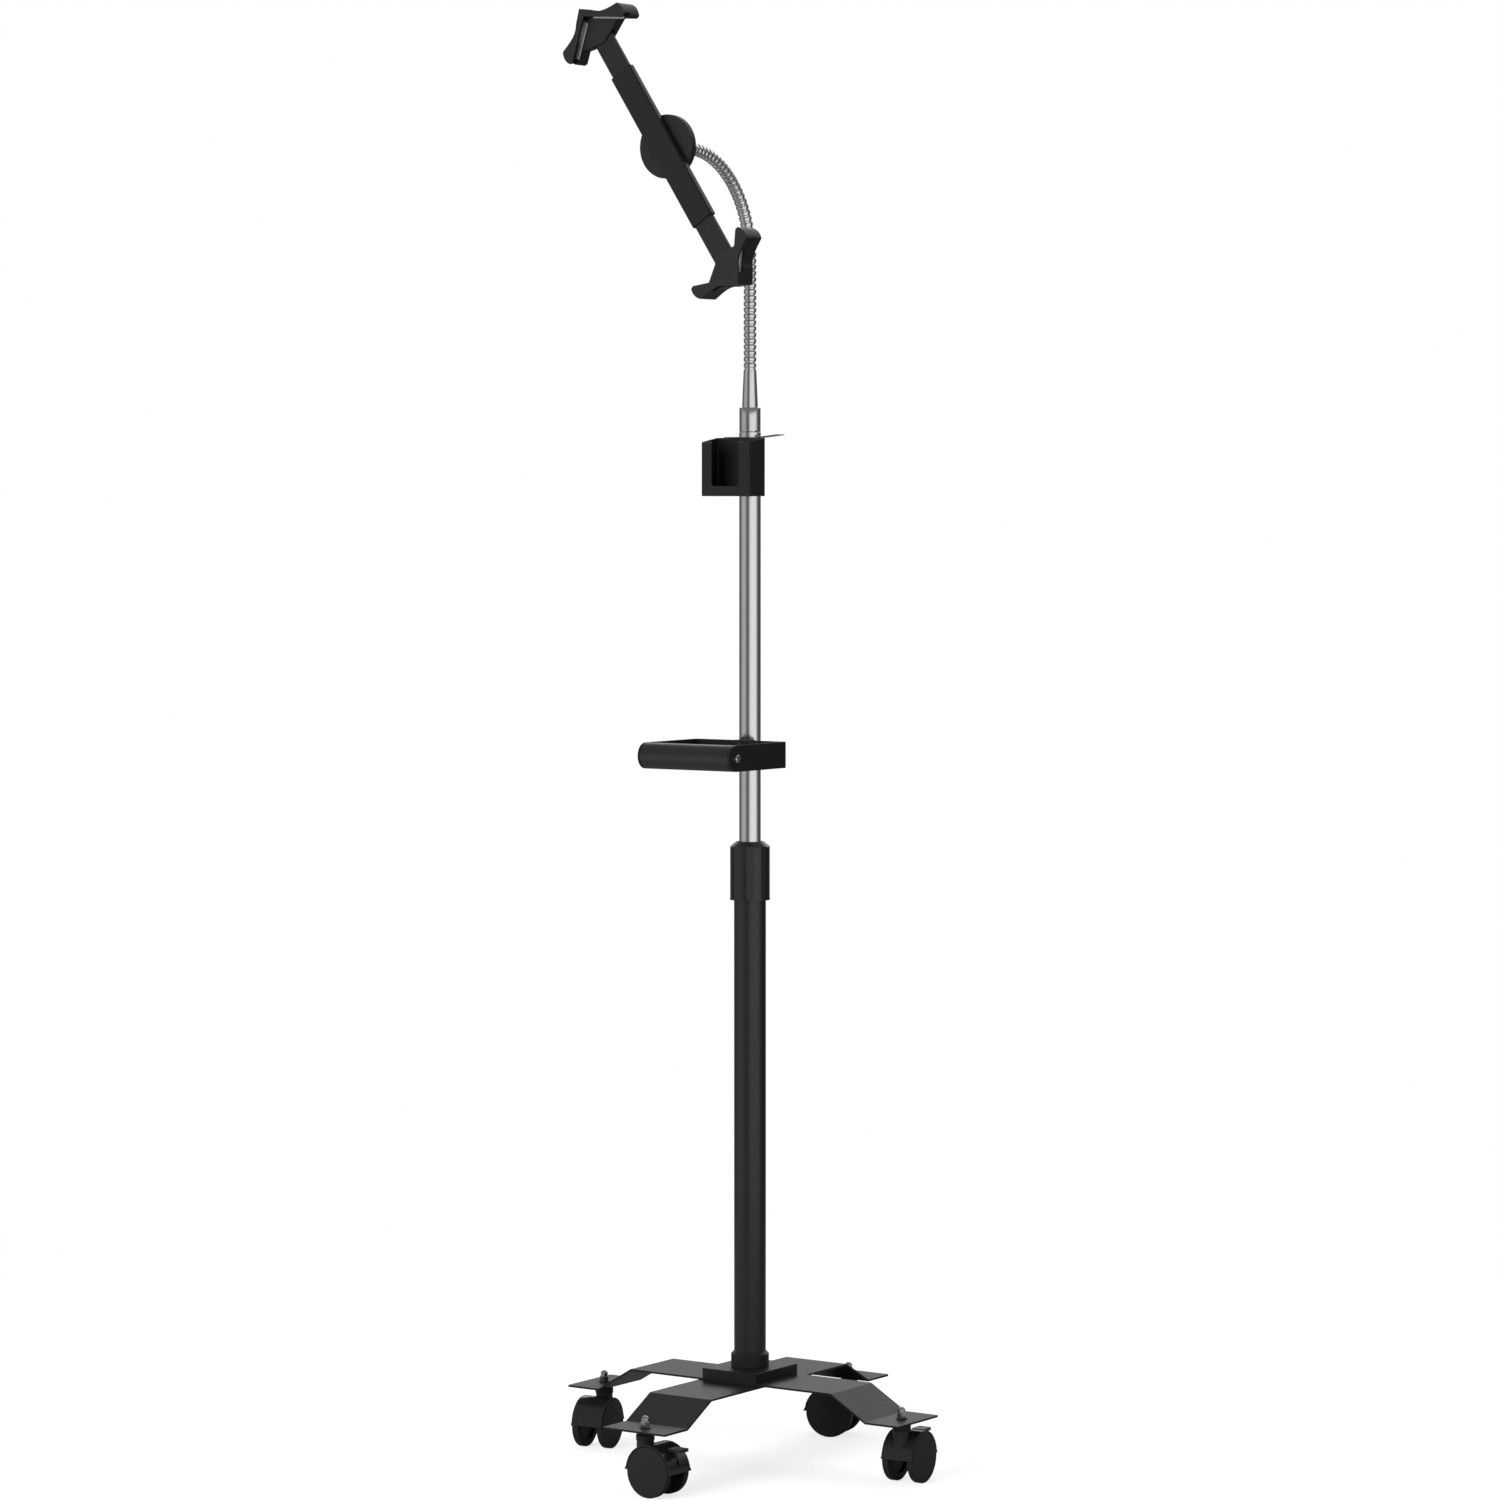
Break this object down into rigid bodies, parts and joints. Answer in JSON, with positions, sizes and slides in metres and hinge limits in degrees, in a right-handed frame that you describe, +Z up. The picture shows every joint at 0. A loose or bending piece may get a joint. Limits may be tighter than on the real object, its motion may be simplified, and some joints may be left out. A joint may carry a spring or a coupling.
{
  "type": "adjustable tablet floor stand",
  "caption": "Rolling floor stand with a telescoping pole, twist collar, push handle, open box, bending neck and corner grips that hold a tablet.",
  "frame": {"origin": "on the floor, under the pole's axis", "axes": "+Z up along the pole; the stand's front, where the holder faces, is -Y; +X is to the right as seen from the front"},
  "size_m": [0.402, 0.4021, 1.4543],
  "materials": {
    "powder_coat": "satin black powder coat",
    "black_tube": "satin black",
    "dark_steel": "zinc plated",
    "plated_steel": "bright zinc plated",
    "chrome_trim": "bright chrome",
    "chrome_tube": "satin chrome",
    "clip_steel": "plain spring steel",
    "gooseneck_steel": "chrome, close ribbed",
    "bush_plastic": "plain black nylon",
    "collar_plastic": "fine grained black",
    "holder_plastic": "fine grained black",
    "grip_plastic": "fine grained black",
    "pad_rubber": "mid grey rubber",
    "handle_rubber": "smooth black foam rubber",
    "caster_plastic": "glossy black nylon",
    "wheel_plastic": "semi-gloss black nylon"
  },
  "bodies": {
    "base": {"base_strip_lower": "powder_coat", "base_strip_upper": "powder_coat", "hub_block": "powder_coat", "centre_bolt": "dark_steel", "strip_screws": "dark_steel", "base_collar": "powder_coat", "lower_tube": "black_tube", "tube_plug": "dark_steel", "guide_bush": "bush_plastic", "collet": "bush_plastic", "caster_stems": "plated_steel", "stem_nuts": "chrome_trim", "stem_washers": "chrome_trim"},
    "twist_collar": {"twist_collar": "collar_plastic"},
    "slide_bush": {"slide_bush": "bush_plastic"},
    "mast": {"upper_tube": "chrome_tube", "tube_stops": "bush_plastic", "neck_ferrule": "chrome_trim", "handle_bracket": "powder_coat", "grip_bar": "handle_rubber", "grip_screws": "chrome_trim", "panel_screws": "dark_steel", "handle_saddle": "powder_coat", "open_box": "powder_coat", "box_saddle": "powder_coat", "spring_clip": "clip_steel", "gooseneck": "gooseneck_steel"},
    "ball_stud": {"ball_stud": "chrome_trim"},
    "ball_seat": {"ball_seat": "bush_plastic"},
    "socket_cup": {"socket_cup": "holder_plastic"},
    "clamp_nut": {"clamp_nut": "collar_plastic"},
    "holder": {"hub_shell": "holder_plastic", "hub_screws": "dark_steel", "diagonal_bar": "powder_coat"},
    "slider_upper": {"slider_upper": "holder_plastic"},
    "slider_lower": {"slider_lower": "holder_plastic"},
    "lock_screw_upper": {"lock_screw_upper": "collar_plastic"},
    "lock_screw_lower": {"lock_screw_lower": "collar_plastic"},
    "grip_upper": {"grip_body_upper": "grip_plastic", "grip_lip_upper": "grip_plastic", "grip_pads_upper": "pad_rubber", "grip_pin_upper": "dark_steel"},
    "grip_lower": {"grip_body_lower": "grip_plastic", "grip_lip_lower": "grip_plastic", "grip_pads_lower": "pad_rubber", "grip_pin_lower": "dark_steel"},
    "caster_front": {"hood_front": "caster_plastic", "axle_front": "plated_steel"},
    "wheels_front": {"wheels_front": "wheel_plastic"},
    "brake_lever_front": {"brake_lever_front": "caster_plastic"},
    "caster_right": {"hood_right": "caster_plastic", "axle_right": "plated_steel"},
    "wheels_right": {"wheels_right": "wheel_plastic"},
    "brake_lever_right": {"brake_lever_right": "caster_plastic"},
    "caster_back": {"hood_back": "caster_plastic", "axle_back": "plated_steel"},
    "wheels_back": {"wheels_back": "wheel_plastic"},
    "caster_left": {"hood_left": "caster_plastic", "axle_left": "plated_steel"},
    "wheels_left": {"wheels_left": "wheel_plastic"}
  },
  "joints": [
    {"name": "mast_slide", "type": "slide", "parent": "base", "child": "slide_bush", "axis": [0, 0, 1], "range_m": [-0.07, 0.25]},
    {"name": "mast_turn", "type": "hinge", "parent": "slide_bush", "child": "mast", "pos_m": [0, 0, 0.246], "axis": [0, 0, 1], "range_deg": [-180, 180]},
    {"name": "collar_twist", "type": "hinge", "parent": "base", "child": "twist_collar", "pos_m": [0, 0, 0.6], "axis": [0, 0, 1], "range_deg": [0, 90]},
    {"name": "neck_bend", "type": "hinge", "parent": "mast", "child": "ball_stud", "pos_m": [0, -0.0045, 1.2439], "axis": [1, 0, 0], "range_deg": [-20, 20], "deforming": ["gooseneck"]},
    {"name": "ball_pan", "type": "hinge", "parent": "ball_stud", "child": "ball_seat", "pos_m": [0, -0.1335, 1.3144], "axis": [0, 0, 1], "range_deg": [-15, 15]},
    {"name": "ball_tilt", "type": "hinge", "parent": "ball_seat", "child": "socket_cup", "pos_m": [0, -0.1335, 1.3144], "axis": [1, 0, 0], "range_deg": [-15, 15]},
    {"name": "clamp_nut_turn", "type": "hinge", "parent": "socket_cup", "child": "clamp_nut", "pos_m": [0, -0.1335, 1.3144], "axis": [0, -1, 0], "range_deg": [0, 120]},
    {"name": "holder_turn", "type": "hinge", "parent": "socket_cup", "child": "holder", "pos_m": [0, -0.14495, 1.3144], "axis": [0, -1, 0], "range_deg": [-90, 90]},
    {"name": "slider_upper_slide", "type": "slide", "parent": "holder", "child": "slider_upper", "axis": [-0.5519, 0, 0.8339], "range_m": [-0.033, 0.012]},
    {"name": "grip_upper_turn", "type": "hinge", "parent": "slider_upper", "child": "grip_upper", "pos_m": [-0.07617, -0.14945, 1.42948], "axis": [0, -1, 0], "range_deg": [-16.5, 14.5]},
    {"name": "lock_screw_upper_turn", "type": "hinge", "parent": "holder", "child": "lock_screw_upper", "pos_m": [-0.04084, -0.14495, 1.37611], "axis": [0, -1, 0], "range_deg": [0, 180]},
    {"name": "slider_lower_slide", "type": "slide", "parent": "holder", "child": "slider_lower", "axis": [0.5519, 0, -0.8339], "range_m": [-0.037, 0.008]},
    {"name": "grip_lower_turn", "type": "hinge", "parent": "slider_lower", "child": "grip_lower", "pos_m": [0.07838, -0.14945, 1.19599], "axis": [0, -1, 0], "range_deg": [-28.9, 2.1]},
    {"name": "lock_screw_lower_turn", "type": "hinge", "parent": "holder", "child": "lock_screw_lower", "pos_m": [0.04084, -0.14495, 1.25269], "axis": [0, -1, 0], "range_deg": [0, 180]},
    {"name": "caster_front_swivel", "type": "hinge", "parent": "base", "child": "caster_front", "pos_m": [0, -0.1815, 0.05], "axis": [0, 0, 1], "continuous": true},
    {"name": "wheels_front_roll", "type": "hinge", "parent": "caster_front", "child": "wheels_front", "pos_m": [0.01568, -0.18232, 0.025], "axis": [0.0523, 0.9986, 0], "continuous": true},
    {"name": "brake_lever_front_press", "type": "hinge", "parent": "caster_front", "child": "brake_lever_front", "pos_m": [0.03595, -0.18338, 0.0365], "axis": [0.0523, 0.9986, 0], "range_deg": [0, 12]},
    {"name": "caster_right_swivel", "type": "hinge", "parent": "base", "child": "caster_right", "pos_m": [0.1815, 0, 0.05], "axis": [0, 0, 1], "continuous": true},
    {"name": "wheels_right_roll", "type": "hinge", "parent": "caster_right", "child": "wheels_right", "pos_m": [0.18041, 0.01566, 0.025], "axis": [-0.9976, -0.0698, 0], "continuous": true},
    {"name": "brake_lever_right_press", "type": "hinge", "parent": "caster_right", "child": "brake_lever_right", "pos_m": [0.17899, 0.03591, 0.0365], "axis": [-0.9976, -0.0698, 0], "range_deg": [0, 12]},
    {"name": "caster_back_swivel", "type": "hinge", "parent": "base", "child": "caster_back", "pos_m": [0, 0.1815, 0.05], "axis": [0, 0, 1], "continuous": true},
    {"name": "wheels_back_roll", "type": "hinge", "parent": "caster_back", "child": "wheels_back", "pos_m": [-0.0153, 0.17797, 0.025], "axis": [0.225, -0.9744, 0], "continuous": true},
    {"name": "caster_left_swivel", "type": "hinge", "parent": "base", "child": "caster_left", "pos_m": [-0.1815, 0, 0.05], "axis": [0, 0, 1], "continuous": true},
    {"name": "wheels_left_roll", "type": "hinge", "parent": "caster_left", "child": "wheels_left", "pos_m": [-0.17877, -0.01546, 0.025], "axis": [0.9848, 0.1736, 0], "continuous": true}
  ]
}
